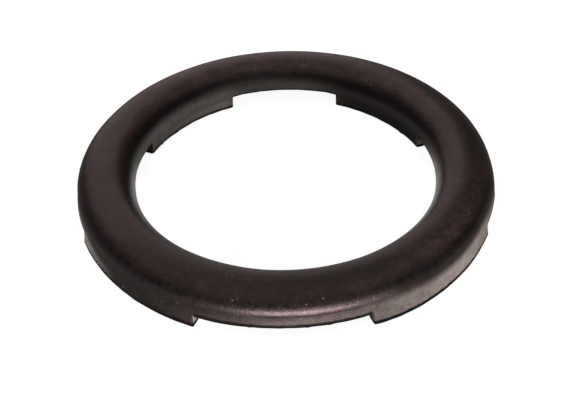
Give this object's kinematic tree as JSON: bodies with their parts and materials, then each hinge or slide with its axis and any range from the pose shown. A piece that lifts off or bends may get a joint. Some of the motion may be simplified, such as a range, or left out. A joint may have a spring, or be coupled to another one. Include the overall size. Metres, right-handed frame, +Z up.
{
  "type": "coil spring insulator",
  "caption": "Moulded black rubber ring with a domed back and bearing lugs parted by gaps; it sits between the end of a coil spring and its perch.",
  "frame": {"origin": "on the ring's axis, in the plane of the lug faces that it rests on", "axes": "+Z up along the ring's axis, from the lugs towards the domed back; +X and +Y run through the middles of two gaps, to within two degrees"},
  "size_m": [0.1388, 0.1388, 0.0144],
  "materials": {
    "rubber": "matte"
  },
  "bodies": {
    "root": {"insulator_ring": "rubber"}
  },
  "joints": []
}
